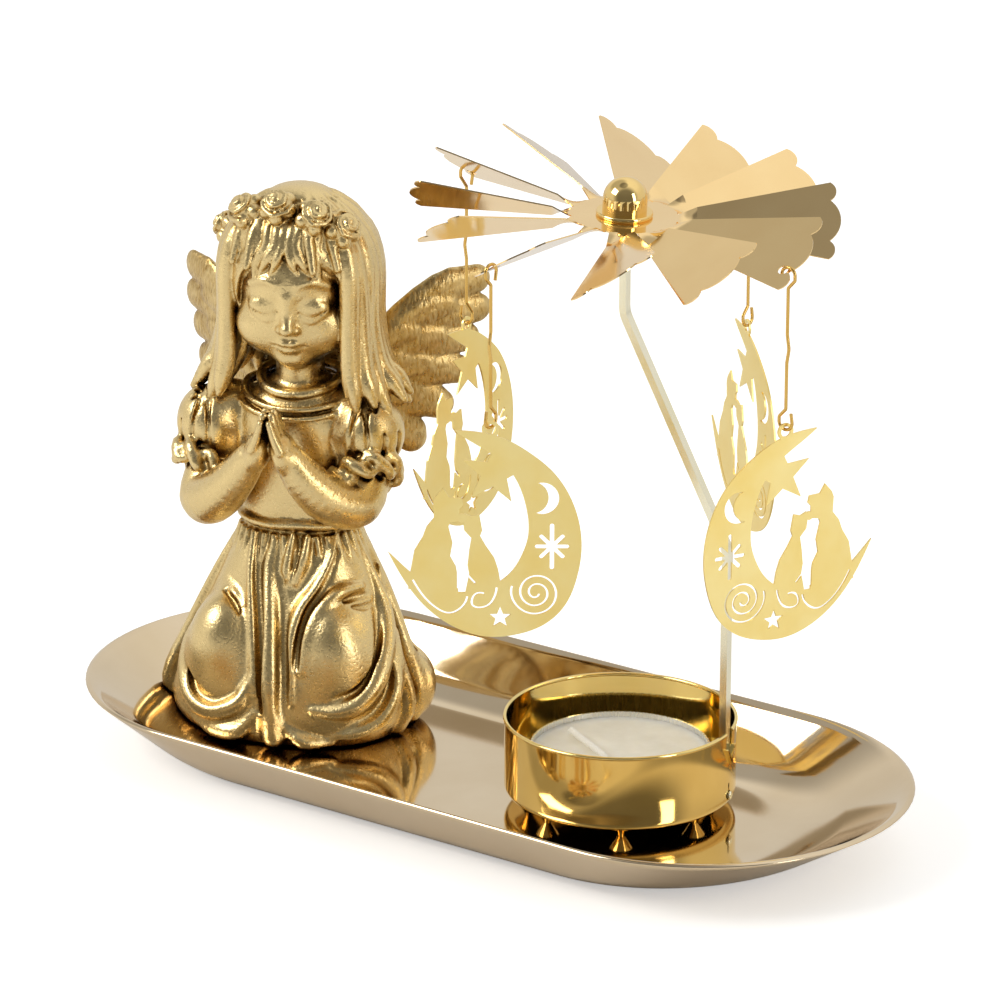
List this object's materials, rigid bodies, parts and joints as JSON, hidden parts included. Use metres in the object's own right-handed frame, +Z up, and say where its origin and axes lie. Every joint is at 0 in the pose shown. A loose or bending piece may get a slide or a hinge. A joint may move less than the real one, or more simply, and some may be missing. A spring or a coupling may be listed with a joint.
{
  "type": "angel chime carousel",
  "caption": "Oval tray with a kneeling angel figurine and a tealight cup whose heat turns a bladed wheel with hanging moon and cat pendants.",
  "frame": {"origin": "middle of the tray's flat underside, on the table", "axes": "+X along the tray towards the candle cup, +Z up, +Y towards the side the figurine has its back to"},
  "size_m": [0.2001, 0.1102, 0.1412],
  "materials": {
    "tray_gold": "mirror-polished stainless steel with a champagne gold coating",
    "figurine_paint": "cast resin with satin metallic gold paint and darker recesses",
    "cup_gold": "polished, gold-lacquered tinplate",
    "post_gold": "bright pale gold steel strip",
    "candle_shell": "bright drawn aluminium",
    "candle_wax": "paraffin wax, slightly translucent",
    "candle_wick": "waxed cotton",
    "sustainer_tin": "plain tinplate",
    "wheel_gold": "mirror-bright gold-coloured sheet",
    "cap_gold": "mirror-polished brass",
    "wire_gold": "bright wire",
    "pendant_gold": "satin, pale gold etched sheet"
  },
  "bodies": {
    "tray": {"tray": "tray_gold"},
    "figurine": {"figurine_body": "figurine_paint", "figurine_right_wing": "figurine_paint", "figurine_left_wing": "figurine_paint"},
    "holder": {"candle_cup": "cup_gold", "post": "post_gold"},
    "tealight": {"tealight_shell": "candle_shell", "tealight_wax": "candle_wax", "tealight_wick": "candle_wick", "wick_sustainer": "sustainer_tin"},
    "rotor": {"spinner_wheel": "wheel_gold", "pivot_cap": "cap_gold"},
    "hook_1": {"hook_1": "wire_gold"},
    "pendant_1": {"pendant_1": "pendant_gold"},
    "hook_2": {"hook_2": "wire_gold"},
    "pendant_2": {"pendant_2": "pendant_gold"},
    "hook_3": {"hook_3": "wire_gold"},
    "pendant_3": {"pendant_3": "pendant_gold"},
    "hook_4": {"hook_4": "wire_gold"},
    "pendant_4": {"pendant_4": "pendant_gold"}
  },
  "joints": [
    {"name": "figurine_lift", "type": "slide", "parent": "tray", "child": "figurine", "axis": [0, 0, 1], "range_m": [0, 0.03]},
    {"name": "holder_lift", "type": "slide", "parent": "tray", "child": "holder", "axis": [0, 0, 1], "range_m": [0, 0.03]},
    {"name": "tealight_lift", "type": "slide", "parent": "holder", "child": "tealight", "axis": [0, 0, 1], "range_m": [0, 0.025]},
    {"name": "wheel_spin", "type": "hinge", "parent": "holder", "child": "rotor", "pos_m": [0.0281, 0.0084, 0.1368], "axis": [0, 0, 1], "continuous": true},
    {"name": "hook_1_swing", "type": "hinge", "parent": "rotor", "child": "hook_1", "pos_m": [0.07016, 0.00543, 0.12651], "axis": [-0.0703, -0.9975, 0], "range_deg": [-5, 4]},
    {"name": "pendant_1_swing", "type": "hinge", "parent": "hook_1", "child": "pendant_1", "pos_m": [0.07016, 0.00543, 0.09366], "axis": [0.9975, -0.0703, 0], "range_deg": [-10, 10]},
    {"name": "hook_2_swing", "type": "hinge", "parent": "rotor", "child": "hook_2", "pos_m": [0.03077, 0.0511, 0.12971], "axis": [0.998, -0.0625, 0], "range_deg": [-5, 4]},
    {"name": "pendant_2_swing", "type": "hinge", "parent": "hook_2", "child": "pendant_2", "pos_m": [0.03077, 0.0511, 0.09686], "axis": [0.0625, 0.998, 0], "range_deg": [-10, 10]},
    {"name": "hook_3_swing", "type": "hinge", "parent": "rotor", "child": "hook_3", "pos_m": [-0.01484, 0.01161, 0.13189], "axis": [0.0745, 0.9972, 0], "range_deg": [-5, 4]},
    {"name": "pendant_3_swing", "type": "hinge", "parent": "hook_3", "child": "pendant_3", "pos_m": [-0.01484, 0.01161, 0.09903], "axis": [-0.9972, 0.0745, 0], "range_deg": [-10, 10]},
    {"name": "hook_4_swing", "type": "hinge", "parent": "rotor", "child": "hook_4", "pos_m": [0.02452, -0.03406, 0.12868], "axis": [-0.9965, 0.084, 0], "range_deg": [-5, 4]},
    {"name": "pendant_4_swing", "type": "hinge", "parent": "hook_4", "child": "pendant_4", "pos_m": [0.02452, -0.03406, 0.09583], "axis": [-0.084, -0.9965, 0], "range_deg": [-10, 10]}
  ]
}
